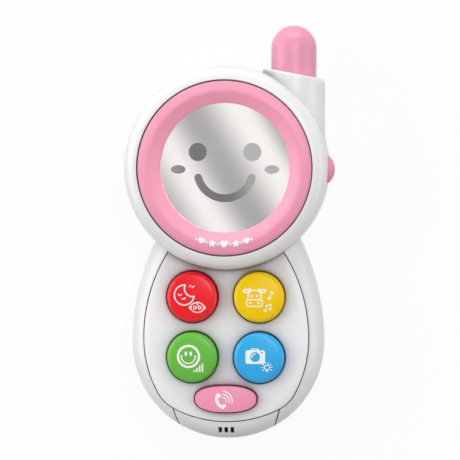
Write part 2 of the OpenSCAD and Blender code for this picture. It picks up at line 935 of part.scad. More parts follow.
module call_dome() {
    dome(0, call_y);
}

// Small board behind the side button
module side_board() {
    color("forestgreen")
        block(side_board_x, side_board_x + board_t,
              button_y - side_board_w / 2, button_y + side_board_w / 2,
              split_z - side_board_h / 2, split_z + side_board_h / 2);
}

// Rubber cup behind the side button
module side_dome() {
    color("gray")
        translate([side_board_x + board_t, button_y, split_z])
            rotate([0, 90, 0])
                rotate_extrude()
                    polygon([[0, side_button_travel], [side_dome_r * 0.7, side_button_travel],
                             [side_dome_r + 0.6, 0], [side_dome_r + 1.6, 0],
                             [side_dome_r + 1.6, dome_foot_t], [side_dome_r + 1, dome_foot_t],
                             [side_dome_r, side_dome_h], [0, side_dome_h]]);
}

// Speaker basket: pressed flange and cup
module speaker_basket() {
    color("silver")
        translate([0, head_y, speaker_z])
            rotate_extrude()
                polygon([[speaker_r - speaker_rim, 0], [speaker_r, 0], [speaker_r, speaker_flange_t],
                         [speaker_r - speaker_rim + 0.6, speaker_flange_t],
                         [speaker_neck_r + 1.4, speaker_flange_t + speaker_cup_h],
                         [coil_r + 1, speaker_flange_t + speaker_cup_h],
                         [coil_r + 1, speaker_cup_h], [speaker_neck_r, speaker_cup_h]]);
}

// Speaker magnet on top of the basket
module speaker_magnet() {
    color("dimgray")
        translate([0, head_y, speaker_z + speaker_flange_t + speaker_cup_h + touch])
            cylinder(r = magnet_r, h = magnet_h);
}

// Speaker cone with its coil
module speaker_cone() {
    low = 0.4;
    mouth_r = speaker_r - speaker_rim;
    rim = mouth_r - (mouth_r - speaker_neck_r) * (low + cone_t) / speaker_cup_h - run;
    color("dimgray")
        translate([0, head_y, speaker_z])
            rotate_extrude()
                polygon([[0, coil_h], [coil_r - cone_t, coil_h], [rim - 1.5, low], [rim, low],
                         [rim, low + cone_t], [rim - 1.3, low + cone_t], [coil_r, coil_h + cone_t],
                         [coil_r, coil_h + 2 * cone_t], [0, coil_h + 2 * cone_t]]);
}

// Ring that clamps the speaker to the rear shell
module speaker_clamp() {
    color("gainsboro")
        translate([0, head_y, speaker_z + speaker_flange_t])
            difference() {
                cylinder(r = clamp_r, h = clamp_t);
                translate([0, 0, -cut])
                    cylinder(r = clamp_in_r, h = clamp_t + 2 * cut);
                for (a = clamp_at)
                    translate([clamp_screw_r * cos(a), clamp_screw_r * sin(a), -cut])
                        cylinder(r = small_r + run, h = clamp_t + 2 * cut);
            }
}

module speaker_screws() {
    color("silver")
        for (a = clamp_at)
            translate([clamp_screw_r * cos(a), head_y + clamp_screw_r * sin(a),
                       speaker_z + speaker_flange_t + clamp_t])
                mirror([0, 0, 1])
                    small_screw(clamp_screw_l);
}

// Battery door with its hooks
module battery_door() {
    color("white")
        difference() {
            union() {
                translate([0, 0, door_sink])
                    linear_extrude(height = door_t)
                        door_plan(0);
                for (side = [-1, 1])
                    block(side * tab_x - tab_w / 2, side * tab_x + tab_w / 2,
                          door_low_y - tab_l, door_low_y + 1, door_top_z - tab_t, door_top_z - touch);
            }
            translate([0, door_screw_y, -cut])
                cylinder(r = screw_r + screw_clear, h = door_top_z + 2 * cut);
            translate([0, door_screw_y, -cut])
                cylinder(r = screw_head_r + screw_clear, h = door_top_z - door_seat_t + cut);
        }
}

module door_screw() {
    head_t = 1;
    color("silver")
        translate([0, door_screw_y, door_top_z - door_seat_t])
            screw(screw_r, door_screw_l, screw_head_r, head_t);
}

// Cell with its raised contact at the end given by way
module cell(x, way) {
    nub_l = 0.8;
    nub_r = 1.9;
    bevel = 0.5;
    low_y = way > 0 ? bay_low_y + spring_l + contact_t + 2 * touch : bay_low_y + contact_t + touch;
    color("goldenrod")
        translate([x, way > 0 ? low_y : low_y + cell_l, cell_z])
            rotate([way > 0 ? -90 : 90, 0, 0])
                rotate_extrude()
                    polygon([[0, 0], [cell_d / 2 - bevel, 0], [cell_d / 2, bevel],
                             [cell_d / 2, cell_l - nub_l - bevel], [cell_d / 2 - bevel, cell_l - nub_l],
                             [nub_r, cell_l - nub_l], [nub_r, cell_l], [0, cell_l]]);
}

module cell_left() {
    cell(-cell_x, 1);
}

module cell_right() {
    cell(cell_x, -1);
}

// Coil spring along y from the origin
module coil() {
    turns = 4;
    per_turn = 10;
    coil_wire_r = 0.32;
    coil_low_r = 3.2;
    coil_top_r = 2.3;
    sides = 6;
    n = turns * per_turn;
    rise = spring_l - 2 * coil_wire_r - 2 * touch;
    rings = [for (i = [0 : n])
        let (
            t = 360 * i / per_turn,
            r = coil_low_r + (coil_top_r - coil_low_r) * i / n,
            out = [cos(t), 0, sin(t)]
        )
        for (k = [0 : sides - 1])
            let (u = 360 * k / sides)
            (r + coil_wire_r * cos(u)) * out
                + [0, coil_wire_r + touch + rise * i / n + coil_wire_r * sin(u), 0]];
    skin = [for (i = [0 : n - 1], k = [0 : sides - 1])
        let (a = i * sides, m = (k + 1) % sides)
        [a + k, a + k + sides, a + m + sides, a + m]];
    polyhedron(rings, concat(skin,
        [[for (k = [0 : sides - 1]) k]],
        [[for (k = [sides - 1 : -1 : 0]) n * sides + k]]));
}

module battery_springs() {
    color("silver") {
        translate([-cell_x, bay_low_y + contact_t + touch, cell_z])
            coil();
        translate([cell_x, bay_top_y - contact_t - touch, cell_z])
            mirror([0, 1, 0])
                coil();
    }
}

// Contact plates: one link at the low end, two with solder tabs at the top end
module battery_contacts() {
    color("silver") {
        block(-cell_x - contact_w / 2, cell_x + contact_w / 2, bay_low_y + touch / 2,
              bay_low_y + contact_t, cell_z - contact_w / 2, cell_z + contact_w / 2);
        for (side = [-1, 1]) {
            block(side * cell_x - contact_w / 2, side * cell_x + contact_w / 2, bay_top_y - contact_t,
                  bay_top_y - touch / 2, cell_z - contact_w / 2, cell_z + contact_w / 2);
            block(side * cell_x - tab_contact_w / 2, side * cell_x + tab_contact_w / 2,
                  bay_top_y - contact_t, bay_top_y + bay_wall + 1,
                  contact_tab_z, contact_tab_z + contact_t);
        }
    }
}

module body_screws() {
    color("silver")
        for (b = body_bosses)
            translate([b[0], b[1], screw_seat_z])
                main_screw();
}

module head_screws() {
    color("silver")
        for (b = head_bosses)
            translate([b[0], b[1], screw_seat_z])
                main_screw();
}

module board_screws() {
    color("silver")
        for (p = board_posts)
            translate([p[0], p[1], board_z])
                small_screw(board_t + post_bore - 1);
}

module ring_screws() {
    color("silver")
        for (a = ring_screw_at)
            translate([ring_screw_r * cos(a), head_y + ring_screw_r * sin(a), deck_z - deck_t])
                small_screw(deck_t + ring_bore_depth - 1);
}

// Body of the power switch with its mounting ears
module switch_body() {
    ear_x = pad_in_x + pad_l;
    color("dimgray")
        translate([0, slider_y, pad_z])
            difference() {
                union() {
                    block(-ear_x, ear_x, -slider_base_w / 2, slider_base_w / 2, 0, ear_t);
                    block(-switch_l / 2, switch_l / 2, -switch_w / 2, switch_w / 2, 0, switch_h);
                }
                for (side = [-1, 1])
                    translate([side * (pad_in_x + pad_l / 2), 0, -cut])
                        cylinder(r = pin_r + touch, h = ear_t + 2 * cut);
            }
}

module speaker_wires() {
    solder_r = (speaker_r - speaker_rim + speaker_neck_r) / 2 + 1;
    solder_z = speaker_z + speaker_flange_t + speaker_cup_h / 2 + 1;
    color("red")
        for (k = [0, 1])
            let (x = -3.5 + wire_pitch * k, end_x = -6.3 + wire_pitch * k)
            wire([[x, head_y - solder_r, solder_z], [x - 0.5, head_y - solder_r - 6, solder_z + 2.6],
                  [end_x + 2, wire_end_y + 8, wire_low_z - 1], [end_x, wire_end_y + 2, wire_low_z],
                  [end_x, wire_end_y, wire_end_z]]);
}

module battery_wires() {
    tab_end = bay_top_y + bay_wall + 1;
    lift = contact_t + wire_r + touch;
    color("black")
        for (side = [-1, 1])
            wire([[side * cell_x, tab_end - 0.4, contact_tab_z + lift],
                  [side * (cell_x + 0.6), tab_end + 1.2, contact_tab_z + lift + 0.4],
                  [side * (cell_x + 2.2), tab_end + 2.6, (contact_tab_z + wire_end_z) / 2 + 0.4],
                  [side * (cell_x + 2.6), tab_end + 3.2, wire_end_z]]);
}

module led_wires() {
    color("orange")
        for (side = [-1, 1])
            let (x = side * wire_pitch / 2)
            wire([[antenna_x + side * led_pitch / 2, led_y - lead_l - rest - touch, split_z],
                  [antenna_x - 7 + x, head_y + 14, split_z - 0.6],
                  [antenna_x - 9 + x, head_y, split_z - 1],
                  [antenna_x - 16 + x, wire_end_y + 18, wire_low_z],
                  [1 + x, wire_end_y + 6, wire_low_z],
                  [x, wire_end_y, wire_end_z]]);
}

module button_wires() {
    color("blue")
        for (k = [0, 1])
            let (step = wire_pitch * k, low = 1.4 * k)
            wire([[side_board_x - wire_r - touch, button_y - 3 + step, split_z - 2],
                  [side_board_x - 3.5 - step / 2, button_y - 6 + k, split_z - 3.2 - low],
                  [side_board_x - 12.5 - step / 2, wire_end_y + 14, wire_low_z - low],
                  [7.8 - step, wire_end_y + 6, wire_low_z - low],
                  [6.2 - step, wire_end_y, wire_end_z]]);
}

// Round key with a domed top and a flange under the panel
module round_key(x, y) {
    top_z = body_depth + key_proud;
    crown_r = key_r - key_edge_r * (1 - sin(key_slope));
    sphere_r = crown_r / sin(key_slope);
    sphere_z = top_z - sphere_r;
    edge_z = sphere_z + (sphere_r - key_edge_r) * cos(key_slope);
    translate([x, y, 0])
        rotate_extrude()
            polygon(concat(
                [[0, key_low_z], [key_r + key_flange, key_low_z], [key_r + key_flange, key_top_z],
                 [key_r, key_top_z]],
                arc(key_r - key_edge_r, edge_z, key_edge_r, 0, 90 - key_slope, edge_n),
                [for (i = [1 : edge_n]) let (t = 90 - key_slope * (1 - i / edge_n))
                    [sphere_r * cos(t), sphere_z + sphere_r * sin(t)]]));
}

module red_key() {
    color("red")
        round_key(-key_x, key_row_1);
}

module yellow_key() {
    color("gold")
        round_key(key_x, key_row_1);
}

module green_key() {
    color("limegreen")
        round_key(-key_x, key_row_2);
}

module blue_key() {
    color("deepskyblue")
        round_key(key_x, key_row_2);
}

// Call key: long oval with a domed top
module call_key() {
    top_z = body_depth + call_proud;
    color("pink")
        translate([0, call_y, 0]) {
            intersection() {
                translate([0, 0, key_low_z])
                    linear_extrude(height = top_z - key_low_z)
                        polygon(call_points(0));
                translate([0, 0, top_z - call_dome_r])
                    sphere(r = call_dome_r);
            }
            translate([0, 0, key_low_z])
                linear_extrude(height = key_flange_t)
                    polygon(call_points(key_flange));
        }
}

// Button on the side of the head
module side_button() {
    tip_x = head_r + side_button_out;
    dome = 2.2;
    sphere_r = (side_button_r * side_button_r + dome * dome) / (2 * dome);
    a_edge = acos(side_button_r / sphere_r);
    color("pink")
        translate([0, button_y, split_z])
            rotate([0, 90, 0])
                rotate_extrude()
                    polygon(concat(
                        [[0, button_in_x], [button_stem_r, button_in_x], [button_stem_r, button_flange_x],
                         [side_button_r + button_flange, button_flange_x],
                         [side_button_r + button_flange, seat_x - rest], [side_button_r, seat_x - rest]],
                        [for (i = [0 : edge_n]) let (t = a_edge + (90 - a_edge) * i / edge_n)
                            [sphere_r * cos(t), tip_x - sphere_r + sphere_r * sin(t)]]));
}

// Knob of the power switch, sunk in the back
module power_slider() {
    color("dimgray")
        translate([0, slider_y, 0]) {
            block(-knob_l / 2, knob_l / 2, -knob_w / 2, knob_w / 2, knob_sink, slider_z + slider_base_t / 2);
            block(-slider_base_l / 2, slider_base_l / 2, -slider_base_w / 2, slider_base_w / 2,
                  slider_z, slider_z + slider_base_t);
        }
}

rear_shell();
front_frame();
chin_cap();
keypad_panel();
head_shell();
mirror_ring();
mirror_disc();
antenna();
led_holder();
antenna_led();
main_board();
chip_blob();
capacitor();
red_dome();
yellow_dome();
green_dome();
blue_dome();
call_dome();
side_board();
side_dome();
speaker_basket();
speaker_magnet();
speaker_cone();
speaker_clamp();
speaker_screws();
battery_door();
door_screw();
cell_left();
cell_right();
battery_springs();
battery_contacts();
body_screws();
head_screws();
board_screws();
ring_screws();
switch_body();
speaker_wires();
battery_wires();
led_wires();
button_wires();
red_key();
yellow_key();
green_key();
blue_key();
call_key();
side_button();
power_slider();
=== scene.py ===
"""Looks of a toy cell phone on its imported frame: metres, +X right, +Y to the antenna, +Z out of the face."""

import json
import math

import bmesh
import bpy
import numpy as np
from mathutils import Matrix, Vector


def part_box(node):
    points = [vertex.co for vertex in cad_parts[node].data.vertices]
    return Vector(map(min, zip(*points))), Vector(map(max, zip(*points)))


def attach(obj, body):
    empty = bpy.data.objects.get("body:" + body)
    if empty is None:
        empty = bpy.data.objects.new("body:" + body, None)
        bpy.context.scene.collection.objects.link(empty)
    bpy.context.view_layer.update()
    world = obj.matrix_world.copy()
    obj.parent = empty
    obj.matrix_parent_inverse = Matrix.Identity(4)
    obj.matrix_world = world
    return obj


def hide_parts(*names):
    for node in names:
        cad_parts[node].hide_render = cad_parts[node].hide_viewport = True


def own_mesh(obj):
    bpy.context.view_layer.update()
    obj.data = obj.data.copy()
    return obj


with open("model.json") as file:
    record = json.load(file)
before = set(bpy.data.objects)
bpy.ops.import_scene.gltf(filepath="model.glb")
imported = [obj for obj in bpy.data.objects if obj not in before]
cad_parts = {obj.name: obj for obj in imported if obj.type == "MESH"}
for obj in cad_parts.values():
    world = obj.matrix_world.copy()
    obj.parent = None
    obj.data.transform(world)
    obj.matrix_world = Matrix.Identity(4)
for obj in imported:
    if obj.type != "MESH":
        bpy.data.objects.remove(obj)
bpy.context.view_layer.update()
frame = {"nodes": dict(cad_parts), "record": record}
nodes = frame["nodes"]
scene = bpy.context.scene
MM = 0.001


def box_mm(name):
    """Lowest and highest corners of a node at rest, in millimetres."""
    low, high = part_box(name)
    return np.array(low) / MM, np.array(high) / MM


def new_object(name, data):
    obj = bpy.data.objects.new(name, data)
    scene.collection.objects.link(obj)
    return obj


def smooth(mesh):
    for poly in mesh.polygons:
        poly.use_smooth = True


def split_creases(obj, degrees):
    """Keeps edges sharper than the given angle crisp under smooth shading."""
    crease = obj.modifiers.new("crease", "EDGE_SPLIT")
    crease.split_angle = math.radians(degrees)
    crease.use_edge_sharp = False


# Materials: noise scales are counts per metre, lengths are metres

MIX_A, MIX_B, MIX_OUT = 6, 7, 2
CLOUD_SCALE = 90.0
CLOUD_EDGES = (0.3, 0.7)
GLOSS_SCALE = 320.0
GLOSS_SPREAD = 0.2
SKIN_SCALE = 2600.0
SKIN_DEPTH = 0.00005
EDGE_WEAR = 1.06
WEAR_START, WEAR_FULL = 0.99, 0.75
GLOW_RADIUS = (1.0, 0.3, 0.4)
GLOW_DEPTH = 0.0025
MOTTLE_SCALE = 1400.0
MOTTLE_GLOSS = 0.3
HAZE_SCALE = 45.0
MIRROR_ROUGH = (0.05, 0.08)
WAVE_SCALE = 60.0
WAVE_DEPTH = 0.0001
WAVE_STRENGTH = 0.02
TRACK_SCALE = 260.0
TRACK_W = 0.03
LACQUER_SCALE = 500.0
LACQUER_ROUGH = (0.3, 0.5)


def shader(name):
    mat = bpy.data.materials.new(name)
    mat.use_nodes = True
    tree = mat.node_tree
    return mat, tree, tree.nodes["Principled BSDF"]


def node(tree, kind, **values):
    made = tree.nodes.new(kind)
    for key, value in values.items():
        setattr(made, key, value)
    return made


def noise(tree, scale, detail=3.0, rough=0.5):
    coords = node(tree, "ShaderNodeTexCoord")
    tex = node(tree, "ShaderNodeTexNoise")
    tex.inputs["Scale"].default_value = scale
    tex.inputs["Detail"].default_value = detail
    tex.inputs["Roughness"].default_value = rough
    tree.links.new(coords.outputs["Object"], tex.inputs["Vector"])
    return tex


def uneven_gloss(tree, bsdf, tex, low, high):
    """Lets a noise move the roughness between two levels."""
    level = node(tree, "ShaderNodeMapRange")
    level.inputs["To Min"].default_value = low
    level.inputs["To Max"].default_value = high
    tree.links.new(tex.outputs["Fac"], level.inputs["Value"])
    tree.links.new(level.outputs["Result"], bsdf.inputs["Roughness"])


def two_tones(tree, tex, low, high):
    """Ramp from one colour to another over a noise."""
    ramp = node(tree, "ShaderNodeValToRGB")
    ramp.color_ramp.elements[0].color = low
    ramp.color_ramp.elements[1].color = high
    tree.links.new(tex.outputs["Fac"], ramp.inputs["Fac"])
    return ramp


def tones(ramp, stops):
    """Sets a ramp's greys from pairs of place and level."""
    ramp.elements.remove(ramp.elements[1])
    for place, level in stops[1:]:
        ramp.elements.new(place).color = (level, level, level, 1)
    ramp.elements[0].position = stops[0][0]
    ramp.elements[0].color = (stops[0][1],) * 3 + (1,)


def tint(colour, factor):
    return tuple(min(1.0, c * factor) for c in colour) + (1.0,)


def srgb(r, g, b):
    """Linear colour from display levels of 0 to 255."""
    def one(c):
        c = c / 255
        return c / 12.92 if c <= 0.04045 else ((c + 0.055) / 1.055) ** 2.4

    return one(r), one(g), one(b)


def moulded(name, colour, rough=0.3, spread=0.03, grain=0.02, edge=0.0005, painted_shade=0.0, reach=0.004,
            shine=0.5, glow=0.0):
    """Moulded plastic: cloudy colour, uneven gloss, fine skin grain, soft worn edges, painted shade in corners
    and gaps.
    """
    mat, tree, bsdf = shader(name)
    cloud = noise(tree, CLOUD_SCALE, 4.0)
    ramp = two_tones(tree, cloud, tint(colour, 1 - spread), tint(colour, 1 + spread / 2))
    for stop, edge_of_cloud in zip(ramp.color_ramp.elements, CLOUD_EDGES):
        stop.position = edge_of_cloud

    bevel = node(tree, "ShaderNodeBevel", samples=4)
    bevel.inputs["Radius"].default_value = edge
    geometry = node(tree, "ShaderNodeNewGeometry")
    facing = node(tree, "ShaderNodeVectorMath", operation="DOT_PRODUCT")
    tree.links.new(bevel.outputs["Normal"], facing.inputs[0])
    tree.links.new(geometry.outputs["Normal"], facing.inputs[1])
    rub = node(tree, "ShaderNodeMapRange")
    rub.inputs["From Min"].default_value = WEAR_START
    rub.inputs["From Max"].default_value = WEAR_FULL
    tree.links.new(facing.outputs["Value"], rub.inputs["Value"])
    worn = node(tree, "ShaderNodeMix", data_type="RGBA")
    worn.inputs[MIX_B].default_value = tint(colour, EDGE_WEAR)
    tree.links.new(rub.outputs["Result"], worn.inputs["Factor"])
    tree.links.new(ramp.outputs["Color"], worn.inputs[MIX_A])

    # Painted shade: ambient occlusion darkens the base colour in corners, creases, gaps and under overhangs
    shade_ao = node(tree, "ShaderNodeAmbientOcclusion", samples=8)
    shade_ao.inputs["Distance"].default_value = reach
    shade_level = node(tree, "ShaderNodeMapRange")
    shade_level.inputs["To Min"].default_value = 1 - painted_shade
    tree.links.new(shade_ao.outputs["AO"], shade_level.inputs["Value"])
    shaded = node(tree, "ShaderNodeMix", data_type="RGBA", blend_type="MULTIPLY", clamp_result=True)
    shaded.inputs["Factor"].default_value = 1.0
    tree.links.new(worn.outputs[MIX_OUT], shaded.inputs[MIX_A])
    tree.links.new(shade_level.outputs["Result"], shaded.inputs[MIX_B])
    tree.links.new(shaded.outputs[MIX_OUT], bsdf.inputs["Base Color"])

    gloss = noise(tree, GLOSS_SCALE, 5.0, 0.6)
    uneven_gloss(tree, bsdf, gloss, rough * (1 - GLOSS_SPREAD), rough * (1 + GLOSS_SPREAD))

    skin = noise(tree, SKIN_SCALE, 2.0)
    bump = node(tree, "ShaderNodeBump")
    bump.inputs["Strength"].default_value = grain
    bump.inputs["Distance"].default_value = SKIN_DEPTH
    tree.links.new(skin.outputs["Fac"], bump.inputs["Height"])
    tree.links.new(bevel.outputs["Normal"], bump.inputs["Normal"])
    tree.links.new(bump.outputs["Normal"], bsdf.inputs["Normal"])
    bsdf.inputs["Specular IOR Level"].default_value = shine
    bsdf.inputs["Subsurface Weight"].default_value = glow
    bsdf.inputs["Subsurface Radius"].default_value = GLOW_RADIUS
    bsdf.inputs["Subsurface Scale"].default_value = GLOW_DEPTH
    return mat


def metal(name, colour, rough=0.35):
    """Plated steel with a fine mottle in its colour and gloss."""
    mat, tree, bsdf = shader(name)
    tex = noise(tree, MOTTLE_SCALE, 4.0)
    ramp = two_tones(tree, tex, tint(colour, 0.8), tint(colour, 1.1))
    tree.links.new(ramp.outputs["Color"], bsdf.inputs["Base Color"])
    uneven_gloss(tree, bsdf, tex, rough * (1 - MOTTLE_GLOSS), rough * (1 + MOTTLE_GLOSS))
    bsdf.inputs["Metallic"].default_value = 1.0
    return mat


def silvered(name, colour):
    """Mirror sheet: polished metal with a very faint waviness and haze."""
    mat, tree, bsdf = shader(name)
    haze = noise(tree, HAZE_SCALE)
    ramp = two_tones(tree, haze, tint(colour, 0.985), tint(colour, 1.01))
    tree.links.new(ramp.outputs["Color"], bsdf.inputs["Base Color"])
    uneven_gloss(tree, bsdf, haze, *MIRROR_ROUGH)
    wave = noise(tree, WAVE_SCALE, 1.0)
    bump = node(tree, "ShaderNodeBump")
    bump.inputs["Strength"].default_value = WAVE_STRENGTH
    bump.inputs["Distance"].default_value = WAVE_DEPTH
    tree.links.new(wave.outputs["Fac"], bump.inputs["Height"])
    tree.links.new(bump.outputs["Normal"], bsdf.inputs["Normal"])
    bsdf.inputs["Metallic"].default_value = 1.0
    return mat


def board(name, colour):
    """Circuit board lacquer with copper tracks showing through as lighter lines."""
    mat, tree, bsdf = shader(name)
    coords = node(tree, "ShaderNodeTexCoord")
    brick = node(tree, "ShaderNodeTexBrick")
    brick.inputs["Scale"].default_value = TRACK_SCALE
    brick.inputs["Color1"].default_value = tint(colour, 1.0)
    brick.inputs["Color2"].default_value = tint(colour, 0.9)
    brick.inputs["Mortar"].default_value = tint(colour, 1.7)
    brick.inputs["Mortar Size"].default_value = TRACK_W
    tree.links.new(coords.outputs["Object"], brick.inputs["Vector"])
    tree.links.new(brick.outputs["Color"], bsdf.inputs["Base Color"])
    uneven_gloss(tree, bsdf, noise(tree, LACQUER_SCALE), *LACQUER_ROUGH)
    return mat


# painted_shade is the share of painted shade that ambient occlusion puts into each colour, within reach
WHITE = dict(colour=(0.86, 0.855, 0.855), rough=0.34, spread=0.015, edge=0.0008)
PINK = dict(spread=0.02, glow=0.2)
KEY = dict(rough=0.25, spread=0.02, painted_shade=0.15)
PLASTICS = {
    "shell_white": dict(WHITE, painted_shade=0.25, reach=0.01),
    "head_white_painted_shade": dict(WHITE, painted_shade=0.75, reach=0.005),
    "panel_white": dict(WHITE, colour=(0.96, 0.952, 0.96), rough=0.4, painted_shade=1.5, reach=0.017),
    "ring_pink": dict(PINK, colour=srgb(249, 165, 189), rough=0.45, edge=0.002, painted_shade=0.2, reach=0.0025,
                      shine=0.3),
    "antenna_pink": dict(PINK, colour=srgb(236, 156, 184), rough=0.33, shine=0.35),
    "button_pink": dict(PINK, colour=srgb(244, 146, 180), rough=0.45, shine=0.3),
    "key_red": dict(KEY, colour=srgb(252, 20, 36), shine=0.35),
    "key_yellow": dict(KEY, colour=srgb(255, 210, 0), shine=0.22),
    "key_green": dict(KEY, colour=srgb(102, 192, 62), shine=0.35),
    "key_blue": dict(KEY, colour=srgb(46, 178, 240), shine=0.35),
    "key_pink": dict(KEY, colour=srgb(252, 156, 188), rough=0.35, painted_shade=0.2, shine=0.4),
    "print_white": dict(colour=(0.97, 0.96, 0.94), rough=0.45, spread=0.02, edge=0.00005),
    "rubber_grey": dict(colour=(0.22, 0.22, 0.22), rough=0.7, grain=0.1),
    "chip_black": dict(colour=(0.012, 0.012, 0.012), rough=0.35, grain=0.08),
    "can_blue": dict(colour=(0.02, 0.03, 0.12)),
    "lamp_clear": dict(colour=(0.85, 0.82, 0.72), rough=0.1),
    "holder_grey": dict(colour=(0.10, 0.10, 0.105), rough=0.5),
    "cone_paper": dict(colour=(0.03, 0.03, 0.03), rough=0.9, grain=0.4),
    "clamp_white": dict(colour=(0.7, 0.7, 0.69), rough=0.5),
    "switch_black": dict(colour=(0.02, 0.02, 0.02), rough=0.45, grain=0.08),
    "wire_red": dict(colour=(0.5, 0.01, 0.01), rough=0.45),
    "wire_black": dict(colour=(0.012, 0.012, 0.012), rough=0.45),
    "wire_orange": dict(colour=(0.7, 0.14, 0.01), rough=0.45),
    "wire_blue": dict(colour=(0.01, 0.04, 0.4), rough=0.45),
    "cell_wrap": dict(colour=(0.5, 0.3, 0.05)),
}
materials = {name: moulded(name, **finish) for name, finish in PLASTICS.items()}
materials["steel_zinc"] = metal("steel_zinc", (0.62, 0.62, 0.6))
materials["magnet_grey"] = metal("magnet_grey", (0.2, 0.2, 0.21), rough=0.5)
materials["mirror_silver"] = silvered("mirror_silver", (0.98, 0.955, 0.93))
materials["board_green"] = board("board_green", (0.02, 0.12, 0.05))

# The head's shell gets a stronger painted shade in its creases than its slot's other pieces
OWN_SHADE = {"head_shell": "head_white_painted_shade"}
WELD_GAP = 1e-6
NODE_CREASE = 30

slots = {part["node"]: part["material_slot"] for part in frame["record"]["subparts"]}
for name, obj in nodes.items():
    obj.data.materials.clear()
    obj.data.materials.append(materials[OWN_SHADE.get(name, slots[name])])
    smooth(obj.data)
    weld = obj.modifiers.new("weld", "WELD")
    weld.merge_threshold = WELD_GAP
    split_creases(obj, NODE_CREASE)


# Rubber cups under the keys and behind the side button

CUP_SIDES = 48
CUP_CREASE = 40
CUP_ROUND = 0.15
CUP_ROOF, CUP_THROAT = 0.75, 0.82
CROWN_EDGE = ((0.12, 0.25), (-0.1, 0.06), (-0.3, 0.0))


def cup(name, profile, turn):
    """Turned cup at its node's place: profile pairs radius and height, turn is its axis, and the cup rises
    along it from the node's low side.
    """
    low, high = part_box(name)
    foot = [(a + b) / 2 for a, b in zip(low, high)]
    foot[turn] = low[turn]
    others = [k for k in range(3) if k != turn]
    bm = bmesh.new()
    loops = []
    for r, h in profile:
        loop = []
        for i in range(CUP_SIDES if r > 0 else 1):
            angle = 2 * math.pi * i / CUP_SIDES
            spot = list(foot)
            spot[turn] += h * MM
            spot[others[0]] += r * MM * math.cos(angle)
            spot[others[1]] += r * MM * math.sin(angle)
            loop.append(bm.verts.new(spot))
        loops.append(loop)
    for a, b in zip(loops, loops[1:]):
        for i in range(CUP_SIDES):
            j = (i + 1) % CUP_SIDES
            quad = [a[i % len(a)], a[j % len(a)], b[j % len(b)], b[i % len(b)]]
            bm.faces.new(list(dict.fromkeys(quad)))
    bmesh.ops.recalc_face_normals(bm, faces=bm.faces)
    mesh = bpy.data.meshes.new(name + "_rubber")
    bm.to_mesh(mesh)
    bm.free()
    smooth(mesh)
    obj = new_object(name + "_rubber", mesh)
    obj.data.materials.append(materials["rubber_grey"])
    split_creases(obj, CUP_CREASE)
    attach(obj, "housing")
    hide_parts(name)
    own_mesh(obj)


def cup_profile(top, inner, rise, foot_r, foot_in, foot_t, crown_r):
    """Half section from the inside of the crown, round the foot and up to the outside of the crown."""
    inside = [(0, inner), (crown_r * CUP_ROOF, inner), (crown_r * CUP_THROAT, inner - CUP_ROUND),
              (foot_in, 0)]
    flange = [(foot_r - CUP_ROUND, 0), (foot_r, CUP_ROUND), (foot_r, foot_t - CUP_ROUND),
              (foot_r - CUP_ROUND, foot_t), (foot_r - rise, foot_t)]
    crown = [(crown_r + outward, top - drop) for outward, drop in CROWN_EDGE]
    return inside + flange + crown + [(0, top)]


low, high = box_mm("red_dome")
key_cup = cup_profile(high[2] - low[2], inner=1.5, rise=1.0, foot_r=6.0, foot_in=4.5, foot_t=0.7,
                      crown_r=3.6)
for colour in ("red", "yellow", "green", "blue", "call"):
    cup(colour + "_dome", key_cup, 2)
low, high = box_mm("side_dome")
side_cup = cup_profile(high[0] - low[0], inner=1.2, rise=0.6, foot_r=4.4, foot_in=3.4, foot_t=0.7,
                       crown_r=2.8)
cup("side_dome", side_cup, 0)


# Prints: flat figures given by a signed distance in millimetres, laid on a surface


def disc(x, y, cx, cy, r):
    return np.hypot(x - cx, y - cy) - r


def oval(x, y, cx, cy, a, b):
    return (np.hypot((x - cx) / a, (y - cy) / b) - 1) * min(a, b)


def slab(x, y, cx, cy, w, h, r):
    dx = np.abs(x - cx) - w / 2 + r
    dy = np.abs(y - cy) - h / 2 + r
    return np.hypot(np.maximum(dx, 0), np.maximum(dy, 0)) + np.minimum(np.maximum(dx, dy), 0) - r


def stroke(x, y, ax, ay, bx, by, w):
    t = ((x - ax) * (bx - ax) + (y - ay) * (by - ay)) / ((bx - ax) ** 2 + (by - ay) ** 2)
    t = np.clip(t, 0, 1)
    return np.hypot(x - ax - t * (bx - ax), y - ay - t * (by - ay)) - w / 2


def bow(x, y, cx, cy, r, middle, span, w):
    """Arc stroke of radius r about a centre, spanning the given degrees round its middle direction."""
    turn = math.radians(middle)
    u = (x - cx) * math.cos(turn) + (y - cy) * math.sin(turn)
    v = np.abs(-(x - cx) * math.sin(turn) + (y - cy) * math.cos(turn))
    half = math.radians(span / 2)
    inside = np.arctan2(v, u) <= half
    along = np.abs(np.hypot(u, v) - r)
    ends = np.hypot(u - r * math.cos(half), v - r * math.sin(half))
    return np.where(inside, along, ends) - w / 2


def star(x, y, cx, cy, r, points=5, dent=0.45, turn=90):
    """Star with its tips at radius r and its dents at a share of it."""
    a = np.arctan2(y - cy, x - cx) - math.radians(turn)
    sector = 2 * math.pi / points
    a = np.abs((a + sector / 2) % sector - sector / 2)
    rho = np.hypot(x - cx, y - cy)
    px, py = rho * np.cos(a), rho * np.sin(a)
    ex, ey = dent * r * math.cos(sector / 2), dent * r * math.sin(sector / 2)
    nx, ny = ey, r - ex
    return ((px - r) * nx + py * ny) / math.hypot(nx, ny)


def heart(x, y, cx, cy, s):
    """Heart of half width s: two lobes, and a wedge whose sides are tangent to them."""
    u, v = np.abs(x - cx) / s, (y - cy) / s
    lobes = np.hypot(u - 0.5, v - 0.25) - 0.55
    wedge = np.maximum(0.716 * u - 0.698 * (v + 1.05), v + 0.134)
    middle = np.hypot(u, v + 0.1) - 0.25
    return np.minimum.reduce([lobes, wedge, middle]) * s


def join(*fields):
    return np.minimum.reduce(fields)


def less(field, *holes):
    return np.maximum.reduce([field] + [-h for h in holes])


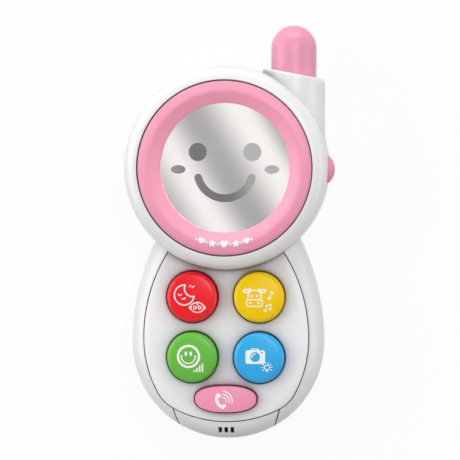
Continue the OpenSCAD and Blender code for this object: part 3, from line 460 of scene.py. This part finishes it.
def print_mesh(name, field, low, high, step, place, material, body):
    """Clips a fine grid to the figure and lays it on the surface that place gives, in millimetres."""
    xs = np.arange(low[0], high[0] + step, step)
    ys = np.arange(low[1], high[1] + step, step)
    gx, gy = np.meshgrid(xs, ys, indexing="ij")
    f = field(gx, gy)
    points, faces, made = [], [], {}

    def shade_ao(i, j):
        key = (i, j)
        if key not in made:
            made[key] = len(points)
            points.append((xs[i], ys[j]))
        return made[key]

    def crossing(a, b):
        key = (min(a, b), max(a, b))
        if key not in made:
            fa, fb = f[a], f[b]
            t = fa / (fa - fb)
            made[key] = len(points)
            points.append((xs[a[0]] + t * (xs[b[0]] - xs[a[0]]), ys[a[1]] + t * (ys[b[1]] - ys[a[1]])))
        return made[key]

    for i in range(len(xs) - 1):
        for j in range(len(ys) - 1):
            if f[i:i + 2, j:j + 2].min() >= 0:
                continue
            quad = ((i, j), (i + 1, j), (i + 1, j + 1), (i, j + 1))
            if f[i:i + 2, j:j + 2].max() < 0:
                faces.append([shade_ao(*q) for q in quad])
                continue
            for tri in ((quad[0], quad[1], quad[2]), (quad[0], quad[2], quad[3])):
                loop = []
                for k in range(3):
                    a, b = tri[k], tri[(k + 1) % 3]
                    if f[a] < 0:
                        loop.append(shade_ao(*a))
                    if (f[a] < 0) != (f[b] < 0):
                        loop.append(crossing(a, b))
                if len(set(loop)) >= 3:
                    faces.append(loop)
    flat = np.array(points)
    solid = np.stack(place(flat[:, 0], flat[:, 1]), axis=1) * MM
    mesh = bpy.data.meshes.new(name)
    mesh.from_pydata([tuple(p) for p in solid], [], faces)
    mesh.update()
    smooth(mesh)
    obj = new_object(name, mesh)
    obj.data.materials.append(material)
    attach(obj, body)


# Signs on the keys, drawn in millimetres about the middle of the key; INK is their height over it

INK = 0.03
KEY_FLANGE = 1.0
KEY_EDGE = 2.0
KEY_SLOPE = math.radians(8)
CALL_BALL = 46.0
SIGN_STEP = 0.12
SIGN_SPAN, CALL_SPAN = 7.6, 4.6
LINE = 0.52
THIN_LINE = 0.4


def crown_ball(key):
    """Radius of a round key's crown, which meets its rounded edge at the key's slope."""
    low, high = box_mm(key)
    crown = (high[0] - low[0]) / 2 - KEY_FLANGE - KEY_EDGE * (1 - math.sin(KEY_SLOPE))
    return crown / math.sin(KEY_SLOPE)


def crown_place(key, ball):
    """Top of a key, a cap of the given ball, from the key's own box."""
    low, high = box_mm(key)
    cx, cy = (low[0] + high[0]) / 2, (low[1] + high[1]) / 2

    def place(x, y):
        return x + cx, y + cy, high[2] - ball + np.sqrt(ball * ball - x * x - y * y) + INK

    return place


def outline(field, width=LINE):
    return np.abs(field) - width / 2


def moon_sign(x, y):
    crescent = less(disc(x, y, -2.9, 0.9, 3.95), disc(x, y, 0.4, 3.5, 3.2))
    sleep = bow(x, y, -4.6, 1.5, 0.75, -90, 130, 0.42)
    lips = bow(x, y, -3.2, 0.1, 0.8, -75, 110, 0.42)
    twinkle = join(stroke(x, y, -0.9, 4.3, -0.3, 4.8, 0.4), stroke(x, y, 0.2, 3.9, 1.0, 4.4, 0.4))
    head = oval(x, y, 2.3, -4.0, 2.6, 1.95)
    ears = less(join(disc(x, y, -0.45, -4.1, 0.62), disc(x, y, 5.05, -4.1, 0.62)), head)
    eyes = join(outline(disc(x, y, 1.35, -4.05, 0.55), THIN_LINE),
                outline(disc(x, y, 3.25, -4.05, 0.55), THIN_LINE))
    tuft = bow(x, y, 2.75, -2.45, 0.55, 170, 180, THIN_LINE)
    return join(outline(crescent), sleep, lips, twinkle, outline(head, THIN_LINE), ears, eyes, tuft)


def calf_sign(x, y):
    muzzle = slab(x, y, -1.6, -2.1, 6.4, 2.7, 1.2)
    head = less(outline(slab(x, y, -1.6, 0.3, 5.2, 5.2, 2.0)), muzzle)
    ears = join(outline(oval(x, y, -4.9, 2.7, 1.0, 0.6)), outline(oval(x, y, 1.7, 2.7, 1.0, 0.6)))
    horns = join(stroke(x, y, -3.1, 2.9, -3.6, 3.7, 0.5), stroke(x, y, -0.1, 2.9, 0.4, 3.7, 0.5))
    eyes = join(oval(x, y, -2.7, 0.7, 0.42, 0.55), oval(x, y, -0.5, 0.7, 0.42, 0.55))
    nostrils = join(oval(x, y, -3.2, -2.1, 0.5, 0.42), oval(x, y, 0.0, -2.1, 0.5, 0.42))
    single_note = join(stroke(x, y, 4.75, 0.0, 4.75, 2.4, 0.42), bow(x, y, 4.75, 1.5, 0.95, 45, 90, 0.42),
                       oval(x, y, 4.25, -0.15, 0.75, 0.55))
    double_note = join(stroke(x, y, 3.0, -5.1, 3.0, -3.3, 0.38), stroke(x, y, 4.9, -4.5, 4.9, -2.7, 0.38),
                       stroke(x, y, 3.0, -3.3, 4.9, -2.7, 0.55), oval(x, y, 2.6, -5.15, 0.6, 0.45),
                       oval(x, y, 4.5, -4.55, 0.6, 0.45))
    return join(outline(muzzle), head, ears, horns, eyes, nostrils, single_note, double_note)


def smile_sign(x, y):
    ring = np.abs(disc(x, y, -1.2, 0.55, 4.2)) - 0.47
    smile = join(bow(x, y, -1.25, 0.6, 2.8, -90, 165, 0.5), stroke(x, y, -4.3, 0.45, -3.75, 0.85, 0.45),
                 stroke(x, y, 1.8, 0.45, 1.25, 0.85, 0.45))
    eyes = join(oval(x, y, -2.25, 1.7, 0.55, 0.9), oval(x, y, -0.25, 1.7, 0.55, 0.9))
    bars = join(*[slab(x, y, 1.1 + 1.08 * k, -5.7 + 0.45 * (k + 1), 0.68, 0.9 * (k + 1), 0.12)
                  for k in range(4)])
    return join(ring, smile, eyes, bars)


def camera_sign(x, y):
    case = join(slab(x, y, -1.3, 0.5, 7.8, 5.4, 0.9), slab(x, y, -1.5, 3.3, 3.2, 1.3, 0.5))
    body = less(case, disc(x, y, -1.35, 0.55, 1.95), slab(x, y, 1.3, 2.35, 0.9, 0.6, 0.2),
                slab(x, y, -1.5, 3.45, 1.9, 0.35, 0.15))
    glint = bow(x, y, -1.35, 0.55, 1.25, 140, 100, 0.42)
    bulb = join(np.abs(disc(x, y, 3.35, -3.6, 0.95)) - 0.2, slab(x, y, 3.35, -5.0, 0.85, 0.75, 0.2))
    rays = join(*[stroke(x, y, 3.35 + 1.5 * math.cos(a), -3.6 + 1.5 * math.sin(a),
                         3.35 + 2.1 * math.cos(a), -3.6 + 2.1 * math.sin(a), 0.3)
                  for a in [math.radians(d) for d in (-30, 5, 40, 75, 110, 145, 180, 215)]])
    return join(body, glint, bulb, rays)


def call_sign(x, y):
    grip = bow(x, y, 0.35, 0.35, 3.75, 212, 78, 1.3)
    ear = stroke(x, y, -3.0, 1.75, -2.35, 1.45, 1.5)
    mouth = stroke(x, y, -1.15, -2.75, -0.35, -2.55, 1.5)
    waves = join(*[bow(x, y, -1.1, -0.6, r, 35, 96, 0.5) for r in (1.5, 2.7, 3.9)])
    return join(grip, ear, mouth, waves)


for key, sign, ball, span in (
    ("red_key", moon_sign, crown_ball("red_key"), SIGN_SPAN),
    ("yellow_key", calf_sign, crown_ball("yellow_key"), SIGN_SPAN),
    ("green_key", smile_sign, crown_ball("green_key"), SIGN_SPAN),
    ("blue_key", camera_sign, crown_ball("blue_key"), SIGN_SPAN),
    ("call_key", call_sign, CALL_BALL, CALL_SPAN),
):
    print_mesh(key + "_sign", sign, (-span, -span), (span, span), SIGN_STEP, crown_place(key, ball),
               materials["print_white"], key)


# Printed face on the mirror, drawn in millimetres about its middle

mirror_low, mirror_high = box_mm("mirror_disc")
MIRROR_Y = (mirror_low[1] + mirror_high[1]) / 2
FACE_HALF_W = 22.0
FACE_LOW, FACE_HIGH = (-22.5, -13.5), (22.5, 10.5)
FACE_STEP = 0.3
FACE_HAZE_SCALE = 60.0
FACE_HAZE = 0.004
FACE_ROUGH, FACE_SHINE = 0.5, 0.2
# Print greys from the left of the face to the right; their change across the face is a painted reflection
EYE_TONES_WITH_REFLECTION = ((0.08, 0.34), (0.26, 0.185), (0.5, 0.2), (0.72, 0.49), (0.92, 0.5))
MOUTH_TONES_WITH_REFLECTION = ((0.25, 0.24), (0.5, 0.165), (0.6, 0.19), (0.72, 0.3), (0.78, 0.4))


def eyes_print(x, y):
    eyes = join(disc(x, y, -10.8, 6.3, 3.6), disc(x, y, 10.8, 6.3, 3.6))
    cheeks = join(oval(x, y, -18.6, -0.6, 2.9, 1.7), oval(x, y, 18.6, -0.6, 2.9, 1.7))
    return join(eyes, cheeks)


def mouth_print(x, y):
    return bow(x, y, 0, -1.0, 11.0, -90, 150, 3.1)


def mirror_place(x, y):
    return x, y + MIRROR_Y, np.full_like(x, mirror_high[2] + INK)


def face_print_painted_reflection(name, stops):
    """Grey print with a painted reflection: its tone runs darker at the left of the face and paler at the
    right.
    """
    mat, tree, bsdf = shader(name)
    coords = node(tree, "ShaderNodeTexCoord")
    split = node(tree, "ShaderNodeSeparateXYZ")
    tree.links.new(coords.outputs["Object"], split.inputs["Vector"])
    haze = noise(tree, FACE_HAZE_SCALE, 2.0)
    reflection_x = node(tree, "ShaderNodeMath", operation="MULTIPLY_ADD")
    reflection_x.inputs[1].default_value = FACE_HAZE
    tree.links.new(haze.outputs["Fac"], reflection_x.inputs[0])
    tree.links.new(split.outputs["X"], reflection_x.inputs[2])
    fade = node(tree, "ShaderNodeMapRange")
    fade.inputs["From Min"].default_value = -FACE_HALF_W * MM
    fade.inputs["From Max"].default_value = FACE_HALF_W * MM
    tree.links.new(reflection_x.outputs["Value"], fade.inputs["Value"])
    ramp = node(tree, "ShaderNodeValToRGB")
    tones(ramp.color_ramp, stops)
    tree.links.new(fade.outputs["Result"], ramp.inputs["Fac"])
    tree.links.new(ramp.outputs["Color"], bsdf.inputs["Base Color"])
    bsdf.inputs["Roughness"].default_value = FACE_ROUGH
    bsdf.inputs["Specular IOR Level"].default_value = FACE_SHINE
    return mat


for name, field, stops in (
    ("mirror_eyes_print", eyes_print, EYE_TONES_WITH_REFLECTION),
    ("mirror_mouth_print", mouth_print, MOUTH_TONES_WITH_REFLECTION),
):
    print_mesh(name, field, FACE_LOW, FACE_HIGH, FACE_STEP, mirror_place, face_print_painted_reflection(name, stops),
               "housing")


# Ornament on the lower part of the ring. The ring's section is given as pairs of distance in from
# its rim and height over its deck, with the crest rounded between two shares of its slopes.

ring_low, ring_high = box_mm("mirror_ring")
RING_DECK = ring_low[2]
RING_R = (ring_high[0] - ring_low[0]) / 2
RING_SHOULDER, RING_CREST, RING_FOOT = (0.5, 5.5), (4.4, 6.5), (8.85, 2.9)
CREST_OUT, CREST_IN = 0.25, 0.7
CREST_POINTS = 9
ORNAMENT_INSET = 4.5
ORNAMENT_LOW, ORNAMENT_HIGH = (-12.5, -2.4), (12.5, 2.4)
ORNAMENT_STEP = 0.2
STAR_X, STAR_R = 4.75, 1.75
HEART_R, SIDE_HEART_X, SIDE_HEART_R, HEART_LIFT = 1.55, 9.1, 1.3, 0.2
DOT_XS, DOT_R = (2.5, 7.0, 11.2), 0.42


def ring_place(x, y):
    """Wraps a strip of the print round the ring, x along the arc and y towards the centre."""
    shoulder, crest, foot = [np.array((RING_R - inset, height))
                             for inset, height in (RING_SHOULDER, RING_CREST, RING_FOOT)]
    high = crest + CREST_OUT * (shoulder - crest)
    low = foot + CREST_IN * (crest - foot)
    t = np.linspace(0, 1, CREST_POINTS)
    bend = [t * t * h + 2 * t * (1 - t) * c + (1 - t) ** 2 * b for h, c, b in zip(high, crest, low)]
    middle = RING_R - ORNAMENT_INSET
    r = middle - y
    a = x / middle - math.pi / 2
    radii = np.hstack([foot[0], bend[0], shoulder[0]])
    heights = np.hstack([foot[1], bend[1], shoulder[1]])
    z = np.interp(r, radii, heights)
    return r * np.cos(a), MIRROR_Y + r * np.sin(a), RING_DECK + z + INK


def ornament(x, y):
    marks = [heart(x, y, 0, HEART_LIFT, HEART_R)]
    for side in (-1, 1):
        marks.append(star(x, y, side * STAR_X, 0, STAR_R))
        marks.append(heart(x, y, side * SIDE_HEART_X, HEART_LIFT, SIDE_HEART_R))
        marks += [disc(x, y, side * dot, 0, DOT_R) for dot in DOT_XS]
    return join(*marks)


print_mesh("ring_ornament", ornament, ORNAMENT_LOW, ORNAMENT_HIGH, ORNAMENT_STEP, ring_place,
           materials["print_white"], "housing")


# Stage, light and camera

FLOOR_HALF, FLOOR_Z, FLOOR_ROUGH = 4.0, -0.0002, 0.9
FLOOR_DIM, FLOOR_PALE, FLOOR_GLOW = 0.2, 0.9, 0.92
WORLD_LIGHT, WORLD_SEEN = 0.15, 1.0
LAMP_AIM = (0, 0, 0.02)
LAMPS = (
    ("left_light", (-0.76, 0.08, 0.34), (0.8, 0.5), 4.4),
    ("right_light", (0.8, 0.0, 0.22), (0.8, 0.3), 2.0),
    ("top_light", (0.0, 0.85, 0.22), (0.8, 0.3), 4.0),
    ("foot_light", (0.0, -0.75, 0.45), (0.8, 0.5), 0.8),
    ("high_light", (0.22, 0.27, 0.88), (0.45, 0.45), 3.4),
)
CARD_HALF, CARD_X, CARD_DY, CARD_Z = 0.06, -0.0423, -0.0091, 0.5
BAND_SLANT, BAND_HALF_W = -0.6, 0.045
BANDS = ((0.0, 0.48), (0.22, 1.0), (0.46, 0.385), (0.52, 0.385), (0.82, 1.0), (0.88, 0.99), (1.0, 0.38))
TURN, RISE = math.radians(5.0), math.radians(2.5)
REACH = 1.0
AIM = Vector((0.0013, 0.0040, 0.020))
SENSOR_W = 36.0
VIEW_W = 0.1835
CLIP_START = 0.01


def looked_at(tree):
    """One for rays from the camera, from reflections and through clear pieces, else nought."""
    paths = node(tree, "ShaderNodeLightPath")
    mirrored = node(tree, "ShaderNodeMath", operation="ADD")
    total = node(tree, "ShaderNodeMath", operation="ADD", use_clamp=True)
    tree.links.new(paths.outputs["Is Glossy Ray"], mirrored.inputs[0])
    tree.links.new(paths.outputs["Is Transmission Ray"], mirrored.inputs[1])
    tree.links.new(paths.outputs["Is Camera Ray"], total.inputs[0])
    tree.links.new(mirrored.outputs["Value"], total.inputs[1])
    return total.outputs["Value"]


def square(name, half):
    mesh = bpy.data.meshes.new(name)
    bm = bmesh.new()
    bmesh.ops.create_grid(bm, x_segments=1, y_segments=1, size=half)
    bm.to_mesh(mesh)
    bm.free()
    return new_object(name, mesh)


# Floor: pale where it is looked at, with the object's shadow, and dim in the light that it throws back
floor = square("floor", FLOOR_HALF)
floor.location.z = FLOOR_Z
floor_mat, tree, bsdf = shader("floor_pale")
bsdf.inputs["Roughness"].default_value = FLOOR_ROUGH
pale = node(tree, "ShaderNodeMapRange")
pale.inputs["To Min"].default_value = FLOOR_DIM
pale.inputs["To Max"].default_value = FLOOR_PALE
seen = node(tree, "ShaderNodeMath", operation="MULTIPLY")
seen.inputs[1].default_value = FLOOR_GLOW
glow = node(tree, "ShaderNodeEmission")
both = node(tree, "ShaderNodeMixShader")
looked = looked_at(tree)
tree.links.new(looked, pale.inputs["Value"])
tree.links.new(pale.outputs["Result"], bsdf.inputs["Base Color"])
tree.links.new(looked, seen.inputs[0])
tree.links.new(seen.outputs["Value"], both.inputs["Fac"])
tree.links.new(bsdf.outputs["BSDF"], both.inputs[1])
tree.links.new(glow.outputs["Emission"], both.inputs[2])
tree.links.new(both.outputs["Shader"], tree.nodes["Material Output"].inputs["Surface"])
floor.data.materials.append(floor_mat)

world = bpy.data.worlds.new("studio")
scene.world = world
world.use_nodes = True
tree = world.node_tree
back = tree.nodes["Background"]
back.inputs["Color"].default_value = (1, 1, 1, 1)
back.inputs["Strength"].default_value = WORLD_LIGHT
plain = node(tree, "ShaderNodeBackground")
plain.inputs["Strength"].default_value = WORLD_SEEN
both = node(tree, "ShaderNodeMixShader")
tree.links.new(looked_at(tree), both.inputs["Fac"])
tree.links.new(back.outputs["Background"], both.inputs[1])
tree.links.new(plain.outputs["Background"], both.inputs[2])
tree.links.new(both.outputs["Shader"], tree.nodes["World Output"].inputs["Surface"])

for name, where, size, power in LAMPS:
    data = bpy.data.lights.new(name, "AREA")
    data.shape = "RECTANGLE"
    data.size, data.size_y = size
    data.energy = power
    lamp = new_object(name, data)
    lamp.location = where
    lamp.visible_camera = False
    lamp.rotation_euler = (Vector(LAMP_AIM) - Vector(where)).to_track_quat("-Z", "Y").to_euler()

# Card that only reflections see: soft slanted bands above the mirror
card = square("sky_card", CARD_HALF)
card.location = (CARD_X, MIRROR_Y * MM + CARD_DY, CARD_Z)
card.rotation_euler = (math.pi, 0, 0)
card.visible_camera = False
card.visible_diffuse = False
card.visible_shadow = False
card.visible_transmission = False
card_mat, tree, bsdf = shader("sky_card")
tree.nodes.remove(bsdf)
coords = node(tree, "ShaderNodeTexCoord")
split = node(tree, "ShaderNodeSeparateXYZ")
tree.links.new(coords.outputs["Object"], split.inputs["Vector"])
slope = node(tree, "ShaderNodeMath", operation="MULTIPLY_ADD")
slope.inputs[1].default_value = BAND_SLANT
tree.links.new(split.outputs["Y"], slope.inputs[0])
tree.links.new(split.outputs["X"], slope.inputs[2])
span = node(tree, "ShaderNodeMapRange")
span.inputs["From Min"].default_value = -BAND_HALF_W
span.inputs["From Max"].default_value = BAND_HALF_W
tree.links.new(slope.outputs["Value"], span.inputs["Value"])
bands = node(tree, "ShaderNodeValToRGB")
bands.color_ramp.interpolation = "EASE"
tones(bands.color_ramp, BANDS)
tree.links.new(span.outputs["Result"], bands.inputs["Fac"])
glow = node(tree, "ShaderNodeEmission")
tree.links.new(bands.outputs["Color"], glow.inputs["Color"])
tree.links.new(glow.outputs["Emission"], tree.nodes["Material Output"].inputs["Surface"])
card.data.materials.append(card_mat)

cam_data = bpy.data.cameras.new("camera")
cam_data.sensor_width = SENSOR_W
cam_data.lens = SENSOR_W * REACH / VIEW_W
cam_data.clip_start = CLIP_START
cam = new_object("camera", cam_data)
cam.rotation_euler = (-RISE, TURN, 0.0)
cam.location = AIM + cam.rotation_euler.to_matrix() @ Vector((0.0, 0.0, REACH))
scene.camera = cam
scene.view_settings.view_transform = "Standard"
